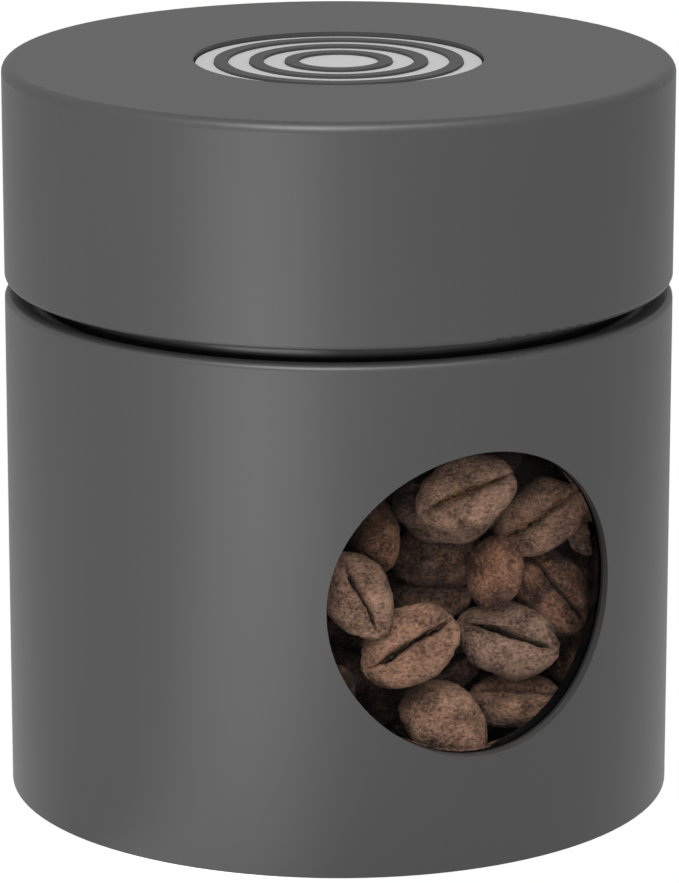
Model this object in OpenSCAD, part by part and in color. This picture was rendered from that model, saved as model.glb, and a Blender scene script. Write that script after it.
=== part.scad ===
// Small coffee canister with a press valve in its lid.
// The origin is the centre of the base, +Z is up, and the window faces -Y.
// A steel shell stands round a plastic jar. The lid slides down over the jar's neck,
// and a sprung button in the lid opens a valve that lets the air out.

/* [Canister] */
// Outer diameter of the body and of the lid
canister_d = 80; // [76:1:88]
// Height with the lid on
canister_h = 89; // [86:1:100]
// Height of the lid
lid_h = 26.1; // [25.5:0.1:28]
// Gap between the body's rim and the lid's lower edge
rim_gap = 1.7; // [1:0.1:2.5]
// Sheet thickness of the shell and of the lid's cover
sheet_t = 1.1; // [0.8:0.1:1.2]
// Rounding of the lid's top edge
top_round = 1.2; // [0.6:0.1:2]
// Rounding of the shell's upper edge and the lid's lower edge
lip_round = 0.7; // [0.3:0.1:0.8]
// Width of the shell's rolled rim
roll_w = 2; // [1.8:0.1:2.4]
// Height of the shell's rolled rim
roll_h = 3; // [2:0.1:5]

/* [Foot] */
// Height of the shell's lower edge above the surface it stands on
stand_h = 0.3; // [0.2:0.1:1]
// Height of the base cap's underside above that surface
cap_lift = 0.5; // [0.4:0.1:1]
// Thickness of the base cap
cap_t = 2.4; // [2.2:0.1:3]
// Height of the wall that stands on the base cap, inside the shell
cap_wall_h = 6; // [3:0.5:10]
// Distance from the canister's side to the middle of the foot ring
foot_inset = 6.5; // [6:0.5:9]
// Width of the foot ring
foot_w = 5; // [3:0.5:6]
// Depth of the foot ring's groove
foot_groove = 0.8; // [0.5:0.1:1.2]
// Diameter of the circle that the base screws stand on
base_screw_ring_d = 48; // [36:1:50]

/* [Jar] */
// Wall of the jar below its shoulder
jar_wall = 1.3; // [1:0.1:1.6]
// Wall of the neck
neck_wall = 1.6; // [1.2:0.1:2]
// Height of the neck above the shoulder
neck_h = 12.8; // [11:0.1:14]
// Width of the shoulder, from the jar's side to the neck
shoulder_w = 1.1; // [0.9:0.1:1.4]
// Drop from the shell's rim to the jar's shoulder
shoulder_drop = 0.5; // [0.2:0.1:1]
// Thickness of the jar's floor
floor_t = 2; // [1.5:0.1:3]
// Space between the base cap and the jar's floor
floor_lift = 5.1; // [4.5:0.1:8]

/* [Window] */
// Diameter of the round window
window_d = 36.2; // [28:0.1:40]
// Height of the window's centre
window_z = 32.1; // [31:0.1:36]
// Thickness of the pane's flange
flange_t = 0.5; // [0.3:0.1:0.6]
// Width of the pane's flange beyond the window
flange_w = 2.2; // [1.5:0.1:3]
// Width of the gasket beyond the window
gasket_w = 4.2; // [3.5:0.1:5]

/* [Lid inside] */
// Wall of the liner's skirt
liner_wall = 1.7; // [1.3:0.1:1.7]
// Thickness of the liner's ceiling
ceiling_t = 2; // [1.6:0.1:2.4]
// Thickness of the ring seal under the ceiling
seal_t = 1.5; // [1:0.1:2]
// Thickness of the frame's plate, step and guide tube
frame_t = 1.2; // [1:0.1:1.5]
// Height of the liner's stiffening ribs
rib_h = 3; // [1:0.5:6]
// Diameter of the circle that the lid screws stand on
lid_screw_ring_d = 39.2; // [38:0.1:42]
// Diameter of the screw bosses
boss_d = 6; // [5:0.1:6.4]
// Shank diameter of the screws
screw_d = 2.2; // [1.8:0.1:2.4]
// Head diameter of the screws
screw_head_d = 4.4; // [4:0.1:4.6]
// Head height of the screws
screw_head_h = 1.2; // [1:0.1:1.4]
// Thread length of the screws past the head
screw_l = 7.5; // [5:0.1:7.5]

/* [Valve] */
// Diameter of the button's disc
button_d = 34; // [34:0.1:35]
// Thickness of the button's disc
disc_t = 1.2; // [1:0.1:1.6]
// Depth of the disc's face below the lid's top
button_sink = 0.55; // [0.4:0.05:1]
// Travel of the button
button_travel = 2; // [1.5:0.1:2.2]
// Width of each raised grip ring
grip_w = 1.6; // [1:0.1:2]
// Height of the grip rings above the disc's face
grip_h = 0.3; // [0.2:0.05:0.4]
// Radial pitch of the grip rings
grip_pitch = 4.2; // [3:0.1:4.5]
// Number of grip rings
grip_count = 3; // [1:1:3]
// Outer diameter of the plunger's skirt
plunger_d = 31.2; // [30:0.1:31.4]
// Wall of the plunger's skirt
plunger_wall = 1.2; // [1:0.1:1.6]
// Thickness of the plunger's plate
plunger_t = 1.5; // [1.2:0.1:1.6]
// Diameter of the valve's stem
stem_d = 3; // [2.4:0.1:3.2]
// Wall round the stem in the plunger's boss and in the seat's guide
stem_wall = 1.1; // [1:0.1:1.3]
// Diameter of the seat's bore
seat_bore_d = 8.4; // [8:0.1:9]
// Width of the land that the washer closes against
seat_land = 1.8; // [1.2:0.1:2]
// Height of the seat's lip below the ceiling
seat_lip = 0.6; // [0.4:0.1:1]
// Diameter of the seat's flange
seat_flange_d = 18; // [16:0.5:20]
// Thickness of the seat's flange
seat_flange_t = 1.2; // [1:0.1:1.6]
// Thickness of the silicone washer
washer_t = 1; // [0.8:0.1:1.5]
// Thickness of the poppet
poppet_t = 1.2; // [1:0.1:1.6]
// Thickness of the stem's clip
clip_t = 0.6; // [0.4:0.1:0.8]
// Outer diameter of the guard
guard_d = 48; // [47:0.5:52]
// Wall and floor of the guard
guard_t = 1.2; // [1:0.1:1.6]
// Diameter of the guard's vent holes
vent_d = 3; // [2:0.1:4]
// Number of vent holes in the guard
vent_count = 12; // [6:1:16]

/* [Spring] */
// Mean diameter of the spring
spring_d = 9.6; // [9.2:0.1:11]
// Wire diameter of the spring
spring_wire = 0.8; // [0.6:0.05:0.8]
// Number of the spring's turns
spring_turns = 4.5; // [3:0.5:4.5]

/* [Coffee] */
// Length of a roasted bean
bean_l = 11.8; // [10.5:0.1:11.8]
// Height of the coffee in the jar
fill_z = 46; // [40:1:50]
// Depth of the space behind the pane that single beans fill
pocket_depth = 19.6; // [19.4:0.1:22]

/* [Clearances] */
// Radial gap between pieces that slide past each other
slide_gap = 0.3; // [0.25:0.05:0.4]
// Gap between pieces that are fitted together
fit_gap = 0.05; // [0.02:0.01:0.08]
// Radial gap between the stem and its guide
stem_gap = 0.06; // [0.03:0.01:0.1]
// Distance that the plunger could still travel at the end of the button's stroke
stop_gap = 0.35; // [0.3:0.05:0.5]
// Gap between the coffee and the jar
coffee_gap = 0.3; // [0.2:0.1:0.5]

/* [Hidden] */
$fn = 96;
eps = 0.01;
arm_count = 3;
rib_count = 6;

canister_r = canister_d / 2;
shell_r_in = canister_r - sheet_t;
lid_z = canister_h - lid_h;
shell_top = lid_z - rim_gap;
roll_r = canister_r - roll_w;
roll_z = shell_top - roll_h;

cap_top = cap_lift + cap_t;
cap_r = shell_r_in - fit_gap;
foot_r = canister_r - foot_inset;
floor_z = cap_top + floor_lift;
jar_floor_top = floor_z + floor_t;

jar_r = roll_r - fit_gap * 2;
jar_r_in = jar_r - jar_wall;
shoulder_z = shell_top - shoulder_drop;
neck_r = jar_r - shoulder_w;
neck_r_in = neck_r - neck_wall;
neck_top = shoulder_z + neck_h;
throat_h = jar_r_in - neck_r_in;
throat_drop = 1.5;
throat_z = shoulder_z - throat_drop - throat_h;
neck_round = 0.5;
ledge_t = 1;
cap_wall_t = cap_r - jar_r - fit_gap;

window_r = window_d / 2;
flange_r = window_r + flange_w;
flange_r_out = jar_r + flange_t;
gasket_r = window_r + gasket_w;
pocket_r = window_r + 9;

liner_r = shell_r_in - fit_gap;
liner_r_in = liner_r - liner_wall;
ceiling_z = neck_top + seal_t;
ceiling_top = ceiling_z + ceiling_t;
liner_lift = 0.2;
seal_inset = 0.6;
seal_r_in = neck_r_in - seal_inset;
seal_rib_r = seal_r_in - fit_gap;
cover_z = canister_h - sheet_t;
frame_z = cover_z - frame_t;
collar_t = 1.2;
collar_h = 2;
rib_w = 1.2;
rib_inner_gap = 3;
rib_outer_gap = 1;

button_r = button_d / 2;
well_r = button_r + slide_gap;
disc_top = canister_h - button_sink;
disc_z = disc_top - disc_t;
plunger_z = disc_z - plunger_t;
plunger_r = plunger_d / 2;
step_top = plunger_z - button_travel - stop_gap;
guide_r = plunger_r + slide_gap;
guide_lift = 2.5;
guide_z = ceiling_top + guide_lift;
skirt_gap = 0.8;
skirt_z = ceiling_top + button_travel + skirt_gap;
plunger_boss_h = 3.2;
carrier_inset = 0.2;
grip_inset = 3;
grip_groove = 0.4;

stem_r = stem_d / 2;
boss_r = stem_r + stem_wall;
seat_bore_r = seat_bore_d / 2;
seat_wall = 0.9;
seat_r = seat_bore_r + seat_land + seat_wall;
land_z = ceiling_z - seat_lip;
seat_top = ceiling_top + seat_flange_t;
washer_z = land_z - washer_t;
poppet_z = washer_z - poppet_t;
clip_z = poppet_z - clip_t;
stem_end = 0.6;
stem_z = clip_z - stem_end;
stem_grip = 1;
clip_groove = 0.4;
groove_r = stem_r - clip_groove;
clip_w = 1.6;
washer_lap = 0.3;
washer_r = seat_bore_r + seat_land + washer_lap;
poppet_inset = 0.2;
guide_sink = 0.5;
arm_w = 1.2;
arm_bite = 0.5;
guard_gap = 0.7;
guard_z = stem_z - button_travel - guard_gap - guard_t;
vent_inset = 6;
guard_r = guard_d / 2;

lid_screw_r = lid_screw_ring_d / 2;
base_screw_r = base_screw_ring_d / 2;
screw_r = screw_d / 2;
screw_rest = 0.4;
head_sink = 0.2;
screw_tip_gap = 0.2;
slot_l = 2.4;
slot_w = 0.5;
slot_depth = 0.6;
base_seat_z = cap_lift + screw_head_h + head_sink;

spring_r = spring_d / 2;
spring_r_wire = spring_wire / 2;
spring_end_gap = 0.1;
spring_bottom = seat_top + spring_r_wire + spring_end_gap;
spring_top = plunger_z - spring_r_wire - spring_end_gap;
RINGS_A_TURN = 8;
WIRE_SIDES = 6;

// Window beans, placed by hand: across and up from the window's centre, depth of the
// middle behind the pane, turn of the long axis, where the bean faces (turned about
// the vertical, tipped up), 1 with the flat side out or -1 with the back out, size
WINDOW_BEANS = [
  [1, 11.5, 3.5, 25, -25, 20, 1, 0.94],
  [14, 6.5, 4.5, 35, -30, 15, 1, 0.9],
  [-7, -6, 3, 30, -25, 15, 1, 0.98],
  [9, -7.5, 5, -15, -25, 35, 1, 1],
  [-13.5, 0.5, 2.5, -70, -5, 15, 1, 0.88],
  [17, -3, 4, -55, 5, 20, 1, 0.92],
  [-1.5, -16, 4.5, -30, -25, 25, -1, 0.88],
  [10.5, -15, 5, -5, -25, 65, 1, 0.88],
  [1.5, 8.5, 9.5, -10, -25, 60, 1, 1],
  [-10, 5.5, 9, -40, -85, 15, -1, 0.84],
  [6.5, 1, 5, 80, -25, 15, -1, 0.84],
  [2.5, 1.5, 12.5, -5, -25, -5, -1, 0.9],
  [2, -3, 14, 0, -25, 65, 1, 0.88],
  [27.5, -1, 6, -60, -15, 15, -1, 0.86],
  [3.5, -12, 13, 35, -25, -15, 1, 0.92],
  [23.5, -11.5, 5, -65, -5, 15, -1, 0.84],
  [-14, -8.5, 9, -15, -25, 55, 1, 0.86],
  [-11, -14, 14, -40, -25, 5, -1, 0.86],
  [-5, -18, 15.5, 25, -25, 55, 1, 0.86],
  [13, -16.5, 13.5, 70, -25, 15, -1, 0.9],
  [-20, -2.5, 7, 70, -60, 10, -1, 0.88],
  [-19.5, -12, 3.5, 20, -60, 20, 1, 0.88],
  [24, -6.5, 10, -70, 40, 10, 1, 0.86],
  [25, 4, 4, 20, 35, 30, -1, 0.86],
  [20, 10.5, 8.5, -20, 20, 50, 1, 0.86],
  [7.5, 14, 9.5, 10, 0, 60, -1, 0.86],
];

// What a rounding of the given radius leaves out of a corner at the origin.
// The corner's material lies towards -x and, with up = 1, towards -y.
module corner_cut(radius, up = 1) {
  difference() {
    translate([-radius, up > 0 ? -radius : 0])
      square([radius + eps, radius + eps]);
    translate([-radius, -up * radius])
      circle(radius);
  }
}

// A ring with a rectangular section
module ring(r_in, r_out, z, h) {
  translate([0, 0, z])
    difference() {
      cylinder(r = r_out, h = h);
      translate([0, 0, -eps])
        cylinder(r = r_in, h = h + 2 * eps);
    }
}

// A straight round cut from the middle out through the window
module window_cut(radius) {
  translate([0, 0, window_z])
    rotate([90, 0, 0])
      cylinder(r = radius, h = canister_r + 5);
}

// Places its children on each of the three screw axes of a circle
module on_screws(ring_r) {
  for (i = [0 : 2])
    rotate([0, 0, 60 + i * 120])
      translate([ring_r, 0, 0])
        children();
}

// A pan-head screw with its head down, the seat of the head at z = 0
module screw(l) {
  translate([0, 0, -screw_head_h])
    difference() {
      cylinder(r = screw_head_d / 2, h = screw_head_h);
      for (a = [0, 90])
        rotate([0, 0, a])
          translate([-slot_l / 2, -slot_w / 2, -eps])
            cube([slot_l, slot_w, slot_depth]);
    }
  cylinder(r = screw_r, h = l);
}

module outer_shell() {
  color("#5c5c5e")
    difference() {
      rotate_extrude()
        difference() {
          union() {
            translate([shell_r_in, stand_h])
              square([sheet_t, shell_top - stand_h]);
            translate([roll_r, roll_z])
              square([roll_w, roll_h]);
          }
          translate([canister_r, shell_top])
            corner_cut(lip_round);
          polygon([
            [roll_r - eps, roll_z - eps],
            [shell_r_in, roll_z - eps],
            [roll_r - eps, roll_z + roll_w - sheet_t]
          ]);
        }
      window_cut(window_r);
    }
}

module base_cap() {
  color("#1c1c1e")
    difference() {
      union() {
        translate([0, 0, cap_lift])
          cylinder(r = cap_r, h = cap_t);
        ring(cap_r - cap_wall_t, cap_r, cap_top - eps, cap_wall_h);
      }
      ring(foot_r - foot_w / 2, foot_r + foot_w / 2, cap_lift - eps, foot_groove + eps);
      on_screws(base_screw_r) {
        translate([0, 0, cap_lift - eps])
          cylinder(r = screw_head_d / 2 + slide_gap, h = screw_head_h + head_sink + eps);
        cylinder(r = screw_r + fit_gap, h = cap_top + 1);
      }
    }
}

module foot_ring() {
  color("#2a2a2c")
    ring(
      foot_r - foot_w / 2 + fit_gap,
      foot_r + foot_w / 2 - fit_gap,
      0,
      cap_lift + foot_groove
    );
}

module base_screws() {
  color("silver")
    on_screws(base_screw_r)
      translate([0, 0, base_seat_z])
        screw(floor_z - screw_rest - screw_tip_gap - base_seat_z);
}

module inner_jar() {
  color("#101012")
    difference() {
      union() {
        rotate_extrude()
          difference() {
            union() {
              translate([0, cap_top])
                square([jar_r, shoulder_z - cap_top]);
              translate([0, shoulder_z - 1])
                square([neck_r, neck_h + 1]);
              translate([jar_r - 1, roll_z - fit_gap - ledge_t])
                square([shell_r_in - fit_gap * 2 - jar_r + 1, ledge_t]);
            }
            polygon([
              [0, jar_floor_top],
              [jar_r_in, jar_floor_top],
              [jar_r_in, throat_z],
              [neck_r_in, throat_z + throat_h],
              [neck_r_in, neck_top + 1],
              [0, neck_top + 1]
            ]);
            translate([0, cap_top - 1])
              square([jar_r_in, floor_z - cap_top + 1]);
            translate([neck_r, neck_top])
              corner_cut(neck_round);
          }
        on_screws(base_screw_r)
          translate([0, 0, cap_top])
            cylinder(r = boss_d / 2, h = floor_z - cap_top + eps);
      }
      on_screws(base_screw_r)
        translate([0, 0, cap_top - eps])
          cylinder(r = screw_r + fit_gap, h = floor_z - screw_rest - cap_top);
      window_cut(window_r);
    }
}

module window_pane() {
  color([0.8, 0.85, 0.88, 0.35])
    intersection() {
      ring(jar_r_in, flange_r_out, window_z - flange_r - 1, 2 * flange_r + 2);
      union() {
        window_cut(window_r - fit_gap);
        difference() {
          window_cut(flange_r);
          cylinder(r = jar_r + fit_gap, h = shoulder_z);
        }
      }
    }
}

module window_gasket() {
  color("#0c0c0d")
    difference() {
      intersection() {
        ring(jar_r + fit_gap, shell_r_in - fit_gap, window_z - gasket_r - 1, 2 * gasket_r + 2);
        window_cut(gasket_r);
      }
      window_cut(window_r);
      intersection() {
        cylinder(r = flange_r_out + fit_gap, h = shoulder_z);
        window_cut(flange_r + fit_gap);
      }
    }
}

module bean_bed() {
  color("#3a2418")
    difference() {
      translate([0, 0, jar_floor_top])
        cylinder(r = jar_r_in - coffee_gap, h = fill_z - jar_floor_top);
      translate([0, 0, window_z])
        rotate([90, 0, 0])
          translate([0, 0, jar_r_in - pocket_depth])
            cylinder(r = pocket_r, h = pocket_depth);
    }
}

// Section of a bean, across and through it: the crease, its lips, the flat side's
// edge, and the round back. The flat side is up, and half the width is 1.
BEAN_SECTION = [
  [0, 0.05], [0.13, 0.3], [0.62, 0.33], [0.98, 0.02], [0.86, -0.48], [0.48, -0.82],
  [0, -0.95],
  [-0.48, -0.82], [-0.86, -0.48], [-0.98, 0.02], [-0.62, 0.33], [-0.13, 0.3]
];
BEAN_RINGS = 7;
BEAN_WIDTH = 0.72;

// Half width of a bean at a share of its half length from the middle
function bean_w(s) = pow(1 - pow(abs(s), 2.2), 0.5);

// Points of a bean of the given length, ring by ring, with its two tips last
function bean_points(l) = [
  for (i = [1 : BEAN_RINGS])
    let (s = -cos(180 * i / (BEAN_RINGS + 1)), w = bean_w(s) * l * BEAN_WIDTH / 2)
      for (p = BEAN_SECTION)
        [s * l / 2, p[0] * w, p[1] * w],
  [-l / 2, 0, 0],
  [l / 2, 0, 0]
];

// Triangles between rings of n points, with a fan to a tip at each end
function lofted(n, rings) = [
  for (i = [0 : rings - 2], j = [0 : n - 1])
    let (a = i * n + j, b = i * n + (j + 1) % n)
      each [[a, b, a + n], [b, b + n, a + n]],
  for (j = [0 : n - 1])
    let (k = (j + 1) % n, last = (rings - 1) * n)
      each [[rings * n, k, j], [rings * n + 1, last + j, last + k]]
];

module bean(l) {
  polyhedron(bean_points(l), lofted(len(BEAN_SECTION), BEAN_RINGS));
}

module window_beans() {
  color("#5a3a28")
    for (b = WINDOW_BEANS)
      rotate([0, 0, b[0] / jar_r_in * 180 / PI])
        translate([0, b[2] - jar_r_in, window_z + b[1]])
          rotate([-b[5], 0, b[4] - b[0] / jar_r_in * 180 / PI])
            rotate([90, 0, 0])
              rotate([0, 0, b[3]])
                rotate([b[6] > 0 ? 0 : 180, 0, 0])
                  bean(bean_l * b[7]);
}

module lid_cover() {
  color("#5c5c5e")
    rotate_extrude()
      difference() {
        translate([0, lid_z])
          square([canister_r, lid_h]);
        translate([-eps, lid_z - eps])
          square([shell_r_in + eps, lid_h - sheet_t + eps]);
        square([well_r, canister_h + 1]);
        translate([canister_r, canister_h])
          corner_cut(top_round);
        translate([canister_r, lid_z])
          corner_cut(lip_round, -1);
      }
}

module lid_frame() {
  color("#303032")
    difference() {
      union() {
        ring(well_r, liner_r, frame_z, frame_t);
        ring(well_r, well_r + frame_t, step_top - frame_t, cover_z - step_top + frame_t);
        ring(guide_r, well_r + frame_t, step_top - frame_t, frame_t);
        ring(guide_r, guide_r + frame_t, guide_z, step_top - guide_z);
        difference() {
          on_screws(lid_screw_r)
            translate([0, 0, ceiling_top])
              cylinder(r = boss_d / 2, h = cover_z - ceiling_top);
          cylinder(r = well_r + eps, h = canister_h);
        }
      }
      on_screws(lid_screw_r)
        translate([0, 0, ceiling_top - eps])
          cylinder(r = screw_r + fit_gap, h = screw_l + 1);
    }
}

module lid_liner() {
  color("#18181a")
    difference() {
      union() {
        ring(liner_r_in, liner_r, lid_z + liner_lift, ceiling_top - lid_z - liner_lift);
        ring(seat_r + fit_gap, liner_r, ceiling_z, ceiling_t);
        ring(seal_rib_r - collar_t, seal_rib_r, ceiling_z - collar_h, collar_h + eps);
        ring(
          guard_r + fit_gap,
          guard_r + fit_gap + collar_t,
          ceiling_z - collar_h,
          collar_h + eps
        );
        for (i = [0 : rib_count - 1])
          rotate([0, 0, i * 360 / rib_count + 30])
            translate([well_r + rib_inner_gap, -rib_w / 2, ceiling_top - eps])
              cube([liner_r - well_r - rib_inner_gap - rib_outer_gap, rib_w, rib_h]);
      }
      on_screws(lid_screw_r)
        translate([0, 0, ceiling_z - 1])
          cylinder(r = screw_r + fit_gap, h = ceiling_t + 2);
    }
}

module lid_seal() {
  color("#8a8a8a")
    ring(seal_r_in, liner_r_in - fit_gap, neck_top, seal_t);
}

module lid_screws() {
  color("silver")
    on_screws(lid_screw_r)
      translate([0, 0, ceiling_z])
        screw(screw_l);
}

module valve_seat() {
  color("#d0d0cc") {
    difference() {
      union() {
        translate([0, 0, ceiling_top])
          cylinder(r = seat_flange_d / 2, h = seat_flange_t);
        translate([0, 0, land_z])
          cylinder(r = seat_r, h = ceiling_top - land_z + eps);
      }
      translate([0, 0, land_z - 1])
        cylinder(r = seat_bore_r, h = seat_top - land_z + 2);
    }
    difference() {
      union() {
        translate([0, 0, land_z + guide_sink])
          cylinder(r = boss_r, h = seat_top - land_z - guide_sink);
        for (i = [0 : arm_count - 1])
          rotate([0, 0, i * 360 / arm_count])
            translate([0, -arm_w / 2, land_z + guide_sink])
              cube([seat_bore_r + arm_bite, arm_w, ceiling_top - land_z - guide_sink]);
      }
      translate([0, 0, land_z])
        cylinder(r = stem_r + stem_gap, h = seat_top - land_z + 1);
    }
  }
}

// A point of the spring's middle line, at a number of turns from its lower end
function spring_point(t) = [
  spring_r * cos(360 * t),
  spring_r * sin(360 * t),
  spring_bottom + (spring_top - spring_bottom) * t / spring_turns
];

// The ring of the wire's section round that point
function spring_ring(t) =
  let (p = spring_point(t))
    [
      for (k = [0 : WIRE_SIDES - 1])
        let (a = 360 * k / WIRE_SIDES, out = spring_r_wire * cos(a))
          [
            p[0] + out * cos(360 * t),
            p[1] + out * sin(360 * t),
            p[2] + spring_r_wire * sin(a)
          ]
    ];

spring_rings = spring_turns * RINGS_A_TURN + 1;
spring_pitch = (spring_top - spring_bottom) / spring_turns;
spring_gap = min([
  for (i = [0 : spring_rings - 1 - RINGS_A_TURN], j = [RINGS_A_TURN - 2 : RINGS_A_TURN + 2])
    if (i + j < spring_rings)
      norm(spring_point(i / RINGS_A_TURN) - spring_point((i + j) / RINGS_A_TURN)) - spring_wire
]);
echo(str("Least gap between the spring's turns, in mm: ", spring_gap));

module valve_spring() {
  color("silver")
    polyhedron(
      [
        for (i = [0 : spring_rings - 1])
          each spring_ring(i / RINGS_A_TURN),
        spring_point(0),
        spring_point(spring_turns)
      ],
      lofted(WIRE_SIDES, spring_rings)
    );
}

module valve_guard() {
  color("#242426")
    difference() {
      translate([0, 0, guard_z])
        cylinder(r = guard_r, h = ceiling_z - guard_z);
      translate([0, 0, guard_z + guard_t])
        cylinder(r = guard_r - guard_t, h = ceiling_z);
      for (i = [0 : vent_count - 1])
        rotate([0, 0, i * 360 / vent_count])
          translate([guard_r - vent_inset, 0, guard_z - 1])
            cylinder(r = vent_d / 2, h = guard_t + 2);
    }
}

// Mean radius of grip ring i, counted from the outside
function grip_r(i) = button_r - grip_inset - i * grip_pitch;

module button_disc() {
  color("#b4b4b6")
    difference() {
      translate([0, 0, disc_z])
        cylinder(r = button_r, h = disc_t);
      for (i = [0 : grip_count - 1])
        ring(
          grip_r(i) - grip_w / 2 - fit_gap,
          grip_r(i) + grip_w / 2 + fit_gap,
          disc_top - grip_groove,
          grip_groove + eps
        );
    }
}

module button_rings() {
  color("#4a4a4c")
    for (i = [0 : grip_count - 1])
      ring(
        grip_r(i) - grip_w / 2,
        grip_r(i) + grip_w / 2,
        disc_top - grip_groove,
        grip_groove + grip_h
      );
}

module button_carrier() {
  color("#303032")
    difference() {
      union() {
        translate([0, 0, plunger_z])
          cylinder(r = button_r - carrier_inset, h = plunger_t);
        ring(plunger_r - plunger_wall, plunger_r, skirt_z, plunger_z - skirt_z + eps);
        translate([0, 0, plunger_z - plunger_boss_h])
          cylinder(r = boss_r, h = plunger_boss_h + eps);
      }
      translate([0, 0, plunger_z - plunger_boss_h - 1])
        cylinder(r = stem_r + fit_gap, h = plunger_boss_h + 2);
    }
}

module valve_stem() {
  color("silver")
    difference() {
      translate([0, 0, stem_z])
        cylinder(r = stem_r, h = plunger_z + stem_grip - stem_z);
      ring(groove_r, stem_r + 1, clip_z, clip_t);
    }
}

module valve_poppet() {
  color("#303032")
    ring(stem_r + fit_gap, washer_r - poppet_inset, poppet_z, poppet_t);
}

module poppet_washer() {
  color("#9a9a98")
    ring(stem_r + fit_gap, washer_r, washer_z, washer_t);
}

module stem_clip() {
  color("silver")
    difference() {
      ring(groove_r + fit_gap, stem_r + clip_w, clip_z, clip_t);
      translate([0, -groove_r, clip_z - 1])
        cube([stem_r + clip_w + 1, groove_r * 2, clip_t + 2]);
    }
}

outer_shell();
base_cap();
foot_ring();
base_screws();
inner_jar();
window_pane();
window_gasket();
bean_bed();
window_beans();
lid_cover();
lid_frame();
lid_liner();
lid_seal();
lid_screws();
valve_seat();
valve_spring();
valve_guard();
button_disc();
button_rings();
button_carrier();
valve_stem();
valve_poppet();
poppet_washer();
stem_clip();
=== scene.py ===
import math
import random

import bmesh
import bpy
import numpy as np
from mathutils import Matrix, Vector, noise


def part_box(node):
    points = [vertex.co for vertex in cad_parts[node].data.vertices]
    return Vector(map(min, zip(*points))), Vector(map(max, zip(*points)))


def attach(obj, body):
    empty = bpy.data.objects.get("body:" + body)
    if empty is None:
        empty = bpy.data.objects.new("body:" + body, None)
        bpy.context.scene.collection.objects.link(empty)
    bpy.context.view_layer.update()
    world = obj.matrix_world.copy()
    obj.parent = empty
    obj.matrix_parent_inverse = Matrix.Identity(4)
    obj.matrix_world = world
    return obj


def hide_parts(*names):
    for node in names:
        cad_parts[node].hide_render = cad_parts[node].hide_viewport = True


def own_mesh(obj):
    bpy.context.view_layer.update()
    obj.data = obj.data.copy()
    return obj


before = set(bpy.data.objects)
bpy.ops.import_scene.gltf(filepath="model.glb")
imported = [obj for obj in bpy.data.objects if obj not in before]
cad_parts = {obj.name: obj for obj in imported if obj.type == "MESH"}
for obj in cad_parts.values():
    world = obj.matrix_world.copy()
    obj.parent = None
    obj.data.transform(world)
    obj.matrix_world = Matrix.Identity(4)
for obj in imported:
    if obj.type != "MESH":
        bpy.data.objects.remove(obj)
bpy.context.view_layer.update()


# Camera: a long lens that looks down a little at the canister from the left of its
# window, as in the photograph. The sensor's width goes with the picture's long side.
CAMERA_TURN = math.radians(-24.9)
CAMERA_REACH = 0.5987
CAMERA_HEIGHT = 0.2003
CAMERA_PITCH = math.radians(14.819)
LENS_PIXELS = 5119.6
PICTURE_LONG_SIDE = 883
AXIS_LEFT_OF_CENTRE = 0.8
toward_camera = Vector((math.sin(CAMERA_TURN), -math.cos(CAMERA_TURN), 0))
camera_data = bpy.data.cameras.new("camera")
camera_data.sensor_width = 36
camera_data.lens = LENS_PIXELS / PICTURE_LONG_SIDE * camera_data.sensor_width
camera_data.shift_x = AXIS_LEFT_OF_CENTRE / PICTURE_LONG_SIDE
camera_data.clip_start = 0.01
camera = bpy.data.objects.new("camera", camera_data)
camera.location = toward_camera * CAMERA_REACH + Vector((0, 0, CAMERA_HEIGHT))
camera.rotation_euler = (math.pi / 2 - CAMERA_PITCH, 0, CAMERA_TURN)
bpy.context.scene.collection.objects.link(camera)
bpy.context.scene.camera = camera
bpy.context.scene.view_settings.view_transform = "Standard"


# Floor: a wide white light table. A brighter patch in front on the left is what the
# upright walls mirror to the camera as their broad soft highlight. The two classes wire
# its glow and every later finish.
class Wire:
    """A node's output. Arithmetic on it adds Math nodes."""

    def __init__(self, finish, socket):
        self.finish = finish
        self.socket = socket

    def math(self, operation, *values):
        """A Math node of this kind over the values given."""
        inputs = dict(enumerate(values))
        return self.finish.node("ShaderNodeMath", {"operation": operation}, inputs)

    def __add__(self, other):
        return self.math("ADD", self, other)

    def __sub__(self, other):
        return self.math("SUBTRACT", self, other)

    def __rsub__(self, other):
        return self.math("SUBTRACT", other, self)

    def __mul__(self, other):
        return self.math("MULTIPLY", self, other)

    def __truediv__(self, other):
        return self.math("DIVIDE", self, other)

    __radd__ = __add__
    __rmul__ = __mul__

    def over(self, low, high):
        """0 at the low value and 1 at the high one, smoothly between them."""
        ranges = {"From Min": low, "From Max": high, "Value": self}
        return self.finish.node("ShaderNodeMapRange", {"interpolation_type": "SMOOTHSTEP"}, ranges)


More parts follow.
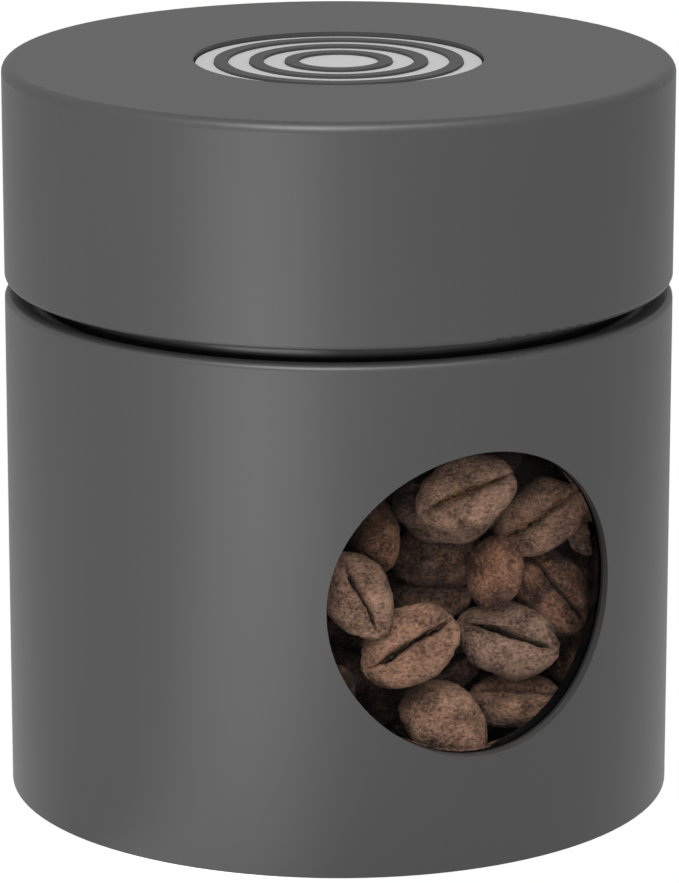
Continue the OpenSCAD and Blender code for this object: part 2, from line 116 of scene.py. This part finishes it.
class Finish:
    """A procedural material around one Principled shader."""

    def __init__(self, name):
        self.material = bpy.data.materials.new(name)
        self.material.use_nodes = True
        self.tree = self.material.node_tree
        self.shader = self.tree.nodes["Principled BSDF"]

    def plug(self, socket, value):
        """Links a wire to a socket, or sets a plain value on it."""
        if isinstance(value, Wire):
            self.tree.links.new(value.socket, socket)
        elif isinstance(value, tuple) and len(value) == 3 and socket.type == "RGBA":
            socket.default_value = (*value, 1)
        else:
            socket.default_value = value

    def node(self, kind, settings, inputs, output=0):
        """Any node: its settings first, then its inputs. Returns one of its outputs."""
        made = self.tree.nodes.new(kind)
        for name, value in settings.items():
            setattr(made, name, value)
        for name, value in inputs.items():
            self.plug(made.inputs[name], value)
        return Wire(self, made.outputs[output])

    def place(self):
        """The place on the piece, in metres, which moves with it."""
        return self.node("ShaderNodeTexCoord", {}, {}, "Object")

    def along(self, place, direction):
        """How far a place lies along a direction."""
        inputs = {0: place, 1: tuple(direction)}
        return self.node("ShaderNodeVectorMath", {"operation": "DOT_PRODUCT"}, inputs, "Value")

    def grain(self, size, detail=2.0, roughness=0.5, vector=None):
        """Noise from 0 to 1 whose grains are about this size, in metres."""
        inputs = {
            "Vector": vector or self.place(),
            "Scale": 1 / size,
            "Detail": detail,
            "Roughness": roughness,
        }
        return self.node("ShaderNodeTexNoise", {}, inputs)

    def blend(self, share, first, second):
        """A colour between two colours."""
        settings = {"data_type": "RGBA"}
        inputs = {0: share, 6: first, 7: second}
        return self.node("ShaderNodeMix", settings, inputs, 2)

    def bump(self, height, depth):
        """A normal from a height of 0 to 1 that stands for this depth in metres."""
        inputs = {"Height": height, "Distance": depth, "Strength": 1.0}
        return self.node("ShaderNodeBump", {}, inputs)

    def set(self, **values):
        """Sets or links the shader's sockets, with _ for a space in a name."""
        for name, value in values.items():
            self.plug(self.shader.inputs[name.replace("_", " ")], value)
        return self


FLOOR_RADIUS = 3.0
FLOOR_FRONT_GLOW = 0.86
FLOOR_BACK_GLOW = 0.6
FLOOR_DIM_FROM, FLOOR_DIM_TO = 0.12, -0.3
PATCH_TURN = math.radians(-50)
PATCH_GLOW = 2.75
PATCH_HALF_SLOPES = (0.1, 0.54)
PATCH_NEAR_EDGE = (-0.05, 0.22)
PATCH_FAR_EDGE = (0.5, 1.4)
LEAST_AHEAD = 0.01


def light_table():
    """White to the eye. For the light dimmer behind, and with the patch's soft glow."""
    table = Finish("light_table")
    place = table.place()
    ahead = table.along(place, (math.sin(PATCH_TURN), -math.cos(PATCH_TURN), 0))
    aside = table.along(place, (math.cos(PATCH_TURN), math.sin(PATCH_TURN), 0))
    slope = aside / ahead.math("MAXIMUM", ahead, LEAST_AHEAD)
    spread = slope.math("ABSOLUTE", slope)
    near = ahead.over(*PATCH_NEAR_EDGE)
    patch = (1 - spread.over(*PATCH_HALF_SLOPES)) * near * (1 - ahead.over(*PATCH_FAR_EDGE))
    front = table.along(place, toward_camera).over(FLOOR_DIM_TO, FLOOR_DIM_FROM)
    glow = patch * PATCH_GLOW + front * (FLOOR_FRONT_GLOW - FLOOR_BACK_GLOW) + FLOOR_BACK_GLOW
    seen = table.node("ShaderNodeLightPath", {}, {}, "Is Camera Ray")
    white = seen.math("MAXIMUM", seen, glow)
    shade = table.node("ShaderNodeEmission", {}, {"Color": (1, 1, 1), "Strength": white})
    table.tree.nodes.remove(table.shader)
    table.tree.links.new(shade.socket, table.tree.nodes["Material Output"].inputs["Surface"])
    return table


made = bmesh.new()
bmesh.ops.create_circle(made, cap_ends=True, segments=96, radius=FLOOR_RADIUS)
floor_mesh = bpy.data.meshes.new("floor")
made.to_mesh(floor_mesh)
made.free()
floor_mesh.materials.append(light_table().material)
floor = bpy.data.objects.new("floor", floor_mesh)
bpy.context.scene.collection.objects.link(floor)


# Studio: white all round for the eye, and for the light bright on the camera's side
# and dimmer behind, with one soft box high in front and a long one above it, which
# draws the bright line along the lid's front edge.
FRONT_GLOW = 0.9
BACK_GLOW = 0.48
KEY_TURN = math.radians(-38)
KEY_RISE = math.radians(48)
KEY_REACH = 1.2
KEY_SIZE = 0.5
KEY_POWER = 8.0
TOP_TURN = CAMERA_TURN
TOP_RISE = math.radians(64)
TOP_REACH = 1.2
TOP_WIDTH, TOP_DEPTH = 1.3, 0.4
TOP_POWER = 6.5


class Studio(Finish):
    """The surroundings, with the same nodes as a material."""

    def __init__(self):
        self.world = bpy.data.worlds.new("studio")
        self.world.use_nodes = True
        self.tree = self.world.node_tree
        self.shader = self.tree.nodes["Background"]


studio = Studio()
bpy.context.scene.world = studio.world
sight = studio.node("ShaderNodeTexCoord", {}, {}, "Generated")
front = studio.along(sight, toward_camera).over(-0.8, 0.6)
seen = studio.node("ShaderNodeLightPath", {}, {}, "Is Camera Ray")
light_glow = front * (FRONT_GLOW - BACK_GLOW) + BACK_GLOW
studio.set(Color=(1, 1, 1), Strength=seen.math("MAXIMUM", seen, light_glow))


def soft_box(name, turn, rise, reach, width, depth, power):
    """A soft box that looks at the canister and that the camera doesn't see."""
    light = bpy.data.lights.new(name, "AREA")
    light.shape = "RECTANGLE"
    light.size = width
    light.size_y = depth
    light.energy = power
    box = bpy.data.objects.new(name, light)
    flat = Vector((math.sin(turn), -math.cos(turn), 0)) * math.cos(rise)
    box.location = (flat + Vector((0, 0, math.sin(rise)))) * reach
    box.rotation_euler = (-box.location).to_track_quat("-Z", "Y").to_euler()
    box.visible_camera = False
    bpy.context.scene.collection.objects.link(box)


soft_box("key_box", KEY_TURN, KEY_RISE, KEY_REACH, KEY_SIZE, KEY_SIZE, KEY_POWER)
soft_box("top_box", TOP_TURN, TOP_RISE, TOP_REACH, TOP_WIDTH, TOP_DEPTH, TOP_POWER)


# Body shell: sheet steel, drawn and rolled in at the rim, with the round window cut
# out. It is sprayed in a satin grey whose grain is only felt, not seen.
def dress(finish, *nodes):
    """Gives CAD nodes a finish, with smooth shading kept from the frame."""
    for name in nodes:
        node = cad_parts[name]
        node.data.materials.clear()
        node.data.materials.append(finish.material)


def grey_paint():
    """Satin grey paint: a fine grain and slow drifts of tone and gloss."""
    paint = Finish("satin_grey_paint")
    grain = paint.grain(0.00035, 3)
    drift = paint.grain(0.03)
    dark = (0.034, 0.034, 0.034)
    light = (0.038, 0.038, 0.038)
    return paint.set(
        Base_Color=paint.blend(drift, dark, light),
        Roughness=0.37 + grain * 0.04 + drift * 0.02,
        Normal=paint.bump(grain, 0.000004),
    )


dress(grey_paint(), "outer_shell", "lid_cover")


# Foot: a moulded black cap pressed into the shell, three screws into the jar's
# bosses, and a non-slip ring of soft rubber in the cap's groove.
def moulding(name, colour, gloss_low, gloss_high, depth):
    """Moulded plastic or rubber: spark grain in the tool, and a little wear in gloss."""
    finish = Finish(name)
    spark = finish.grain(0.0005, 4, 0.65)
    handled = finish.grain(0.012, 3)
    darker = tuple(c * 0.8 for c in colour)
    gloss = gloss_low + handled * (gloss_high - gloss_low)
    return finish.set(
        Base_Color=finish.blend(handled, darker, colour),
        Roughness=gloss,
        Normal=finish.bump(spark, depth),
    )


def turned_steel():
    """Bright screw and spring steel, with fine drawn lines and small stains."""
    steel = Finish("bright_steel")
    lines = steel.grain(0.0002, 4, 0.6)
    stain = steel.grain(0.002, 3)
    return steel.set(
        Base_Color=steel.blend(stain, (0.5, 0.5, 0.51), (0.62, 0.62, 0.63)),
        Metallic=1.0,
        Roughness=0.24 + stain * 0.16,
        Normal=steel.bump(lines, 0.000004),
    )


base_black = moulding("moulded_black", (0.016, 0.016, 0.018), 0.42, 0.55, 0.00002)
foot_rubber = moulding("foot_rubber", (0.024, 0.024, 0.025), 0.7, 0.85, 0.00003)
steel = turned_steel()
dress(base_black, "base_cap")
dress(foot_rubber, "foot_ring")
dress(steel, "base_screws", "lid_screws", "stem_clip")


# Jar: blown black plastic with a high gloss, its neck and shoulder showing in the gap
# under the lid. The wall waves a little, as blown parts do.
def jar_gloss():
    """Glossy black with slow waves and a trace of coffee dust in patches."""
    gloss = Finish("jar_black")
    wave = gloss.grain(0.016, 1)
    dust = gloss.grain(0.0016, 5, 0.7).over(0.56, 0.75)
    return gloss.set(
        Base_Color=gloss.blend(dust, (0.006, 0.006, 0.0065), (0.012, 0.011, 0.01)),
        Roughness=0.17 + dust * 0.12,
        Normal=gloss.bump(wave, 0.00006),
    )


dress(jar_gloss(), "inner_jar")


# Window: a curved clear pane whose plug fills the hole in the jar, held by its flange
# in a black gasket between jar and shell.
def clear_pane():
    """Clear plastic: see-through, with a thin reflection that grows at a low angle."""
    pane = Finish("clear_pane")
    pane.tree.nodes.remove(pane.shader)
    wave = pane.grain(0.02, 1)
    normal = pane.bump(wave, 0.00001)
    gloss = pane.node("ShaderNodeBsdfGlossy", {}, {"Roughness": 0.04, "Normal": normal})
    clear = pane.node("ShaderNodeBsdfTransparent", {}, {"Color": (0.97, 0.975, 0.98)})
    share = pane.node("ShaderNodeFresnel", {}, {"IOR": 1.08, "Normal": normal})
    mixed = pane.node("ShaderNodeMixShader", {}, {0: share, 1: clear, 2: gloss})
    pane.tree.links.new(mixed.socket, pane.tree.nodes["Material Output"].inputs["Surface"])
    return pane


gasket_black = moulding("gasket_black", (0.008, 0.008, 0.008), 0.5, 0.65, 0.00001)
dress(clear_pane(), "window_pane")
dress(gasket_black, "window_gasket")


# Window beans: dark roasted beans that lie against the pane, one piece each. Every
# bean takes its place from its solid in the frame, and gets a crease with ragged
# lips, wrinkled skin, and papery chaff left in some creases.
BEAN_ROWS = 44
# Across and up in shares of half the bean's width, from the crease over its lip and
# the flat side's edge round to the middle of the back
BEAN_HALF_SECTION = [
    (0.0, -0.2), (0.075, -0.16), (0.125, 0.0), (0.155, 0.18), (0.195, 0.31), (0.27, 0.37),
    (0.41, 0.37), (0.56, 0.345), (0.74, 0.29), (0.89, 0.17), (0.965, 0.02), (0.98, -0.16),
    (0.93, -0.36), (0.82, -0.54), (0.66, -0.7), (0.46, -0.83), (0.24, -0.92), (0.0, -0.95),
]
BEAN_WIDTH = 0.72
OUTLINE_POWER = 2.2
TIP_SHARE = 0.995
# How far the crease reaches to each side, its deepest point, and how far its wandering
# is felt, then how it ends at the tips and how its lips wander and pinch along it
CREASE_REACH, CREASE_FLOOR, CREASE_FADE = 0.24, -0.2, 0.3
CREASE_END_DEPTH, CLOSING_POWER = 0.25, 6
LIP_HEIGHT = 0.33
RAGGED_STEP, RAGGED_LIPS = 11, 0.13
NARROW_STEP, NARROWING = 5, 0.35
LUMP_SIZE, LUMP_HEIGHT = 0.0034, 0.0006
WRINKLE_SIZE, WRINKLE_HEIGHT, WRINKLE_MIDDLE = 0.0011, 0.0004, 0.3
SEED_STEP = 0.013
# Skin darkens from this distance to the jar's axis inward, over this depth
SHADE_START, SHADE_DEPTH, SHADE_MOST = 0.031, 0.024, 0.92
WORN_BROWN, WORN_RED = (0.530, 0.335, 0.235), (0.480, 0.210, 0.110)
BURNT_BROWN, BURNT_RED = (0.022, 0.011, 0.008), (0.033, 0.011, 0.006)
# The crease is painted near black for the shade that falls in it.
CREASE_PAINTED_SHADE = (0.006, 0.003, 0.002)
CHAFF_GOLD = (0.72, 0.42, 0.18)
DEEP_SHADE = (0.004, 0.002, 0.0015)
JAR_INSIDE = 0.0366
WINDOW_MIDDLE = 0.0321
# Where a bean of its own look lies: across and up from the window's middle in
# millimetres, then how light and how red its skin is, how much chaff it holds, and its
# size as a share of its solid's. The lightness is partly the bean's own tone and partly
# painted shade: beans in shadow or deep behind the others get low values, down to -0.9
# for the two at the window's top, which lie in shadow.
BEAN_LOOKS = [
    (1, 11.5, 0.6, 0.3, 0.9, 1), (14, 6.5, 0.6, 0.4, 0.8, 1), (-7, -6, 0.65, 0.5, 0.2, 1),
    (9, -7.5, 0.55, 0.15, 0.0, 1), (-13.5, 0.5, 0.55, 0.3, 0.2, 1), (17, -3, 0.35, 0.7, 0.0, 1),
    (-1.5, -16, 0.55, 0.4, 0.0, 1), (10.5, -15, 0.5, 0.4, 0.3, 1), (1.5, 8.5, 0.4, 0.2, 0.1, 1),
    (-10, 5.5, 0.45, 0.8, 0.2, 0.95), (6.5, 1, 0.4, 0.8, 0.0, 0.84), (2.5, 1.5, 0.35, 0.3, 0.0, 1),
    (2, -3, 0.4, 0.3, 0.0, 1), (27.5, -1, 0.2, 0.3, 0.0, 1), (3.5, -12, 0.3, 0.2, 0.0, 1),
    (23.5, -11.5, 0.4, 0.5, 0.0, 1), (-14, -8.5, 0.1, 0.3, 0.0, 1), (-11, -14, 0.1, 0.3, 0.0, 1),
    (20, 10.5, -0.9, 0.3, 0.0, 1), (7.5, 14, -0.9, 0.3, 0.0, 1), (-5, -18, 0.0, 0.3, 0.0, 1),
    (13, -16.5, 0.0, 0.3, 0.0, 1), (-20, -2.5, 0.1, 0.3, 0.0, 1), (-19.5, -12, 0.1, 0.3, 0.0, 1),
    (24, -6.5, 0.1, 0.3, 0.0, 1), (25, 4, 0.35, 0.2, 0.0, 1),
]


def mesh_solids(node):
    """The separate solids of a CAD node, each as an array of its different points."""
    mesh = node.data
    points = np.array([v.co for v in mesh.vertices]).round(7)
    places, first = np.unique(points, axis=0, return_inverse=True)
    owner = np.arange(len(places))
    edges = first.reshape(-1)[np.array([e.vertices[:] for e in mesh.edges])]
    while True:
        least = np.minimum(owner[edges[:, 0]], owner[edges[:, 1]])
        before = owner.copy()
        np.minimum.at(owner, edges[:, 0], least)
        np.minimum.at(owner, edges[:, 1], least)
        owner = owner[owner]
        if (owner == before).all():
            return [places[owner == k] for k in np.unique(owner)]


def bean_place(points):
    """Middle, length and axes (along, across, out of the flat side) of a bean's solid."""
    gaps = np.linalg.norm(points[:, None] - points[None], axis=2)
    first, last = np.unravel_index(gaps.argmax(), gaps.shape)
    along = points[last] - points[first]
    length = np.linalg.norm(along)
    along = along / length
    middle = (points[first] + points[last]) / 2
    out = middle - points.mean(0)
    out = out - along * (out @ along)
    out = out / np.linalg.norm(out)
    return middle, length, np.array([along, np.cross(out, along), out])


def rows_of_faces(rows, sides):
    """The faces between closed rings of points, where each ring has this many sides."""
    return [
        (i * sides + j, i * sides + (j + 1) % sides, (i + 1) * sides + (j + 1) % sides, (i + 1) * sides + j)
        for i in range(rows - 1)
        for j in range(sides)
    ]


def end_fans(rows, sides):
    """The faces that close both ends on the two points that come after the rings."""
    last = (rows - 1) * sides
    first_end = [(rows * sides, (j + 1) % sides, j) for j in range(sides)]
    last_end = [(rows * sides + 1, last + j, last + (j + 1) % sides) for j in range(sides)]
    return first_end + last_end


def smooth_mesh(name, points, faces):
    """A mesh with smooth shading."""
    mesh = bpy.data.meshes.new(name)
    mesh.from_pydata(points, [], faces)
    mesh.update()
    for polygon in mesh.polygons:
        polygon.use_smooth = True
    return mesh


def show(name, mesh, finish):
    """Puts a mesh into the scene as a piece with this finish."""
    mesh.materials.append(finish.material)
    piece = bpy.data.objects.new(name, mesh)
    bpy.context.scene.collection.objects.link(piece)
    return piece


def bean_mesh(name, length, seed, look, rows=BEAN_ROWS):
    """A bean round the origin: along x, its flat side up, with look kept as attributes."""
    half = np.array(BEAN_HALF_SECTION)
    section = np.vstack([half, half[-2:0:-1] * (-1, 1)])
    in_crease = np.clip(1 - np.abs(section[:, 0]) / CREASE_REACH, 0, 1)
    depth = in_crease * (section[:, 1] > CREASE_FLOOR)
    chance = random.Random(seed)
    bow = chance.uniform(0.05, 0.13)
    phase = chance.uniform(0, 6.28)
    drift = chance.uniform(-0.05, 0.05)
    fat = chance.uniform(0.94, 1.0)
    points, crease = [], []
    for i in range(1, rows + 1):
        s = -math.cos(math.pi * i / (rows + 1))
        wide = (1 - abs(s) ** OUTLINE_POWER) ** 0.5 * length * BEAN_WIDTH / 2
        closing = 1 - abs(s) ** CLOSING_POWER
        deepness = CREASE_END_DEPTH + (1 - CREASE_END_DEPTH) * closing
        shift = bow * math.sin(2.2 * s + phase) + drift
        for (across, up), inside in zip(section, depth):
            ragged = noise.noise(Vector((s * RAGGED_STEP, 3.1 * (across > 0), seed))) * RAGGED_LIPS
            pinch = noise.noise(Vector((s * NARROW_STEP, seed, 1.7))) - 0.1
            narrow = 1.0 + (NARROWING * inside) * pinch
            near = math.exp(-((across / CREASE_FADE) ** 2))
            y = across * narrow + (shift + ragged * inside) * near
            lift = LIP_HEIGHT - (LIP_HEIGHT - up) * deepness if inside > 0 else up
            points.append((s * length / 2, y * wide, lift * wide * fat))
            crease.append(inside * closing)
    points += [(-length / 2 * TIP_SHARE, 0, 0), (length / 2 * TIP_SHARE, 0, 0)]
    crease += [0, 0]
    sides = len(section)
    mesh = smooth_mesh(name, points, rows_of_faces(rows, sides) + end_fans(rows, sides))
    normals = [v.normal.copy() for v in mesh.vertices]
    for vertex, normal, inside in zip(mesh.vertices, normals, crease):
        spot = Vector(vertex.co) + Vector((seed * SEED_STEP, 0, 0))
        lump = noise.noise(spot / LUMP_SIZE) * LUMP_HEIGHT
        wrinkle = (abs(noise.noise(spot / WRINKLE_SIZE)) - WRINKLE_MIDDLE) * WRINKLE_HEIGHT
        rise = lump + wrinkle * (1 + inside) - LUMP_HEIGHT / 2
        vertex.co += normal * rise * (1 - 0.5 * inside)
    keep_numbers(mesh, "crease", crease)
    for kind, value in zip(("light", "red", "chaff", "bean"), (*look, seed)):
        keep_numbers(mesh, kind, [value] * len(points))
    return mesh


def keep_numbers(mesh, name, numbers):
    """Stores one number per point for the material to read."""
    attribute = mesh.attributes.new(name, "FLOAT", "POINT")
    attribute.data.foreach_set("value", np.array(numbers, np.float32))


def roasted_skin():
    """Roasted bean skin: mottled brown, a crease painted near black as its shade, with glints, and golden
    chaff.
    """
    skin = Finish("roasted_skin")

    def kept(name):
        return skin.node("ShaderNodeAttribute", {"attribute_name": name}, {}, "Fac")

    light, red, chaff, crease = kept("light"), kept("red"), kept("chaff"), kept("crease")
    apart = skin.node("ShaderNodeCombineXYZ", {}, {"X": kept("bean") * 0.37, "Y": kept("bean") * 0.11})
    where = skin.node("ShaderNodeVectorMath", {"operation": "ADD"}, {0: skin.place(), 1: apart})
    mottle = skin.grain(0.0026, 4, 0.6, where)
    fine = skin.grain(0.00042, 5, 0.62, where)
    speck = skin.grain(0.00022, 2, 0.5, where)
    fibre_place = skin.node("ShaderNodeMapping", {}, {"Vector": where, "Scale": (1.0, 2.6, 2.6)})
    fibre = skin.grain(0.00085, 5, 0.68, fibre_place)
    worn = skin.blend(red, WORN_BROWN, WORN_RED)
    burnt = skin.blend(red, BURNT_BROWN, BURNT_RED)
    # Colour darkens where the bump's fibre and fine grain lie low: partly the skin's own dark cracks,
    # partly painted shade in its wrinkles.
    cracks_and_shade = fibre.over(0.36, 0.5)
    # Tone from mottle, each bean's lightness, which holds painted shade for beans in shadow, and fine
    # grain.
    tone = (mottle - 0.5) * 1.6 + light + (fine - 0.5) * 1.5
    shade = tone.over(-0.05, 1.1) * (cracks_and_shade * 0.6 + 0.4)
    skin_colour = skin.blend(shade, burnt, worn)
    # Painted shade: the crease goes near black where it is deep.
    inside = skin.blend(crease.over(0.12, 0.6), skin_colour, CREASE_PAINTED_SHADE)
    paper = (chaff * crease.over(0.1, 0.5) * fibre.over(0.44, 0.56)).over(0.1, 0.5)
    lit = skin.blend(paper, inside, CHAFF_GOLD)
    colour = skin.blend(kept("shaded"), lit, DEEP_SHADE)
    relief = fibre * 0.6 + fine * 0.4
    return skin.set(
        Base_Color=colour,
        Roughness=(0.38 - speck.over(0.52, 0.68) * 0.26 + mottle * 0.12) - crease * 0.08,
        Specular_IOR_Level=0.3,
        Normal=skin.bump(relief, 0.0012),
    )


roast = roasted_skin()


def look_at(middle):
    """The look of the listed bean that lies nearest."""
    across = math.atan2(middle[0], -middle[1]) * JAR_INSIDE * 1000
    up = (middle[2] - WINDOW_MIDDLE) * 1000
    nearest = min(BEAN_LOOKS, key=lambda b: math.hypot(b[0] - across, b[1] - up))
    return nearest[2:]


def add_bean(name, middle, length, axes, seed, look):
    """One bean of the window, turned as its solid is."""
    mesh = bean_mesh(name, length, seed, look[:3])
    turn = Matrix([[*column] for column in axes]).transposed().to_4x4()
    mesh.transform(Matrix.Translation(Vector(middle)) @ turn @ Matrix.Scale(look[3], 4))
    reach = np.array([math.hypot(v.co.x, v.co.y) for v in mesh.vertices])
    keep_numbers(mesh, "shaded", np.clip((SHADE_START - reach) / SHADE_DEPTH, 0, SHADE_MOST))
    bean = show(name, mesh, roast)
    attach(bean, "canister")
    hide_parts("window_beans")


for number, points in enumerate(mesh_solids(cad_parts["window_beans"])):
    middle, length, axes = bean_place(points)
    add_bean(f"window_bean_{number + 1:02d}", middle, length, axes, number, look_at(middle))


# The rest of the coffee: a heap of beans that fills the jar behind and below the
# window. Its top layer is scattered by a spiral that leaves out the window's side, and
# the mass under it is painted nearly black, as the shade between beans.
heap_low, heap_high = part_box("bean_bed")
HEAP_BEANS = 86
HEAP_BEAN_ROWS = 18
HEAP_BEAN_LENGTHS = (0.0098, 0.0116)
HEAP_REACH = 0.0305
HEAP_SEED, FIRST_BEAN_SEED = 7, 100
GOLDEN_TURN = math.radians(137.508)
CLEAR_REACH, CLEAR_SINE = 0.016, -0.72
MASS_SIDES = 260
MASS_FLOOR_ROWS, MASS_WALL_ROWS, MASS_TOP_ROWS = 12, 44, 26
MASS_LUMP_SIZE, MASS_LUMP_DEPTH, MASS_LUMP_MOST = 0.0085, 0.0045, 0.85
MASS_DIMPLE = 0.001
ROUNDING = 0.0001


def heap_skin():
    """Coffee in the shade between beans: nearly black, broken up by grains."""
    mass = Finish("heap_shade")
    grain = mass.grain(0.002, 4, 0.6)
    return mass.set(
        Base_Color=mass.blend(grain, (0.006, 0.004, 0.003), (0.03, 0.018, 0.013)),
        Roughness=0.6 + grain * 0.2,
        Normal=mass.bump(grain, 0.0012),
    )


def heap_top():
    """Beans scattered over the heap's top, some on their backs, joined as one piece."""
    chance = random.Random(HEAP_SEED)
    made = bmesh.new()
    for i in range(HEAP_BEANS):
        reach = HEAP_REACH * math.sqrt((i + 0.5) / HEAP_BEANS)
        turn = i * GOLDEN_TURN
        if reach > CLEAR_REACH and math.sin(turn) < CLEAR_SINE:
            continue
        at = Vector((reach * math.cos(turn), reach * math.sin(turn), heap_high.z + 0.0003))
        at.z += chance.uniform(-0.001, 0.0022)
        length = chance.uniform(*HEAP_BEAN_LENGTHS)
        look = (chance.uniform(0.2, 0.6), chance.uniform(0.1, 0.8), chance.choice((0, 0, 0.4)))
        mesh = bean_mesh("heap_bean", length, FIRST_BEAN_SEED + i, look, HEAP_BEAN_ROWS)
        keep_numbers(mesh, "shaded", [0] * len(mesh.vertices))
        roll = chance.choice((0, 0, math.pi)) + chance.uniform(-0.5, 0.5)
        spin = Matrix.Rotation(chance.uniform(0, 2 * math.pi), 4, "Z")
        tilt = Matrix.Rotation(chance.uniform(-0.4, 0.4), 4, "Y") @ Matrix.Rotation(roll, 4, "X")
        mesh.transform(Matrix.Translation(at) @ spin @ tilt)
        made.from_mesh(mesh)
        bpy.data.meshes.remove(mesh)
    mesh = bpy.data.meshes.new("heap_beans")
    made.to_mesh(mesh)
    made.free()
    return show("heap_beans", mesh, roast)


def heap_mass():
    """The heap's body: its solid's form with the pocket, in lumps as big as beans."""
    reach = heap_high.x
    rise = heap_high.z - heap_low.z
    solid = [v.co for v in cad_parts["bean_bed"].data.vertices]
    between = [p for p in solid if heap_low.z + ROUNDING < p.z < heap_high.z - ROUNDING]
    pocket = [p for p in between if math.hypot(p.x, p.y) < reach - ROUNDING]
    pocket_face = max(p.y for p in pocket)
    pocket_radius = max(math.hypot(p.x, p.z - WINDOW_MIDDLE) for p in pocket)
    profile = [(reach * k / MASS_FLOOR_ROWS, heap_low.z) for k in range(1, MASS_FLOOR_ROWS + 1)]
    profile += [(reach, heap_low.z + rise * k / MASS_WALL_ROWS) for k in range(1, MASS_WALL_ROWS)]
    profile += [(reach * k / MASS_TOP_ROWS, heap_high.z) for k in range(MASS_TOP_ROWS, 0, -1)]
    points = []
    for radius, height in profile:
        for k in range(MASS_SIDES):
            turn = 2 * math.pi * k / MASS_SIDES
            at = Vector((radius * math.cos(turn), radius * math.sin(turn), height))
            way = Vector((-at.x, -at.y, 0)).normalized() if radius == reach else Vector()
            if height == heap_high.z:
                way.z = -1
            if math.hypot(at.x, at.z - WINDOW_MIDDLE) < pocket_radius and at.y < pocket_face:
                at.y = pocket_face
                way = Vector((0, 1, way.z))
            from_cell = min(MASS_LUMP_MOST, noise.voronoi(at / MASS_LUMP_SIZE)[0][0])
            lump = from_cell**2 * MASS_LUMP_DEPTH
            points.append(at + way * (lump if height > heap_low.z else 0))
    points += [(0, 0, heap_low.z), (0, 0, heap_high.z - MASS_DIMPLE)]
    rows = len(profile)
    faces = rows_of_faces(rows, MASS_SIDES) + end_fans(rows, MASS_SIDES)
    return show("heap_mass", smooth_mesh("heap_mass", points, faces), heap_skin())


mass = heap_mass()
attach(mass, "canister")
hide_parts("bean_bed")
heap = heap_top()
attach(heap, "canister")


# Lid: the steel cap carries a plastic frame with the button's guide and a liner that
# slides over the neck, both screwed together, with a silicone ring for the seal.
def silicone():
    """Pale translucent silicone: dusty satin with a soft bloom."""
    soft = Finish("pale_silicone")
    bloom = soft.grain(0.0009, 4, 0.6)
    patch = soft.grain(0.008, 2)
    return soft.set(
        Base_Color=soft.blend(patch, (0.58, 0.58, 0.56), (0.66, 0.66, 0.64)),
        Roughness=0.42 + bloom * 0.2,
        Normal=soft.bump(bloom, 0.00001),
    )


frame_grey = moulding("frame_grey", (0.09, 0.09, 0.095), 0.45, 0.6, 0.00002)
liner_black = moulding("liner_black", (0.014, 0.014, 0.015), 0.35, 0.5, 0.000015)
dress(frame_grey, "lid_frame")
dress(liner_black, "lid_liner", "valve_guard")
dress(silicone(), "lid_seal", "poppet_washer")


# Valve: a seat with a three-armed stem guide, and a poppet on the stem that the
# button pushes down to let air out. The moulded pieces are white.
seat_white = moulding("seat_white", (0.62, 0.62, 0.6), 0.38, 0.5, 0.00001)
dress(seat_white, "valve_seat", "valve_poppet", "valve_stem", "button_carrier")


# Valve spring: a coil of round steel wire between seat and plunger.
SPRING_RADIUS = 0.0048
SPRING_WIRE_RADIUS = 0.0004
SPRING_TURNS = 4.5
STEPS_A_TURN = 60
WIRE_SIDES = 14


def spring_coil():
    """The wire swept round the axis, with both ends closed."""
    low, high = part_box("valve_spring")
    rise = high.z - low.z - 2 * SPRING_WIRE_RADIUS
    steps = int(SPRING_TURNS * STEPS_A_TURN)
    points = []
    for i in range(steps + 1):
        turn = 2 * math.pi * i / STEPS_A_TURN
        height = low.z + SPRING_WIRE_RADIUS + rise * i / steps
        for k in range(WIRE_SIDES):
            around = 2 * math.pi * k / WIRE_SIDES
            reach = SPRING_RADIUS + SPRING_WIRE_RADIUS * math.cos(around)
            up = height + SPRING_WIRE_RADIUS * math.sin(around)
            points.append((reach * math.cos(turn), reach * math.sin(turn), up))
    faces = [(a, d, c, b) for a, b, c, d in rows_of_faces(steps + 1, WIRE_SIDES)]
    first_cut = tuple(range(WIRE_SIDES))
    last_cut = tuple(steps * WIRE_SIDES + k for k in reversed(range(WIRE_SIDES)))
    mesh = smooth_mesh("spring_coil", points, [*faces, first_cut, last_cut])
    for cut in (-2, -1):
        mesh.polygons[cut].use_smooth = False
    return show("spring_coil", mesh, steel)


coil = spring_coil()
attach(coil, "lid")
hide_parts("valve_spring")
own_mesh(coil)


# Button: a pale disc let into the lid, with three raised grip rings of dark rubber
# moulded into it.
def disc_grey():
    """Pale grey moulding with a satin face."""
    disc = Finish("disc_grey")
    grain = disc.grain(0.0003, 3)
    drift = disc.grain(0.01, 2)
    return disc.set(
        Base_Color=disc.blend(drift, (0.36, 0.36, 0.36), (0.40, 0.40, 0.40)),
        Roughness=0.5 + grain * 0.08,
        Normal=disc.bump(grain, 0.000005),
    )


grip_dark = moulding("grip_dark", (0.035, 0.035, 0.036), 0.5, 0.6, 0.00001)
dress(disc_grey(), "button_disc")
dress(grip_dark, "button_rings")
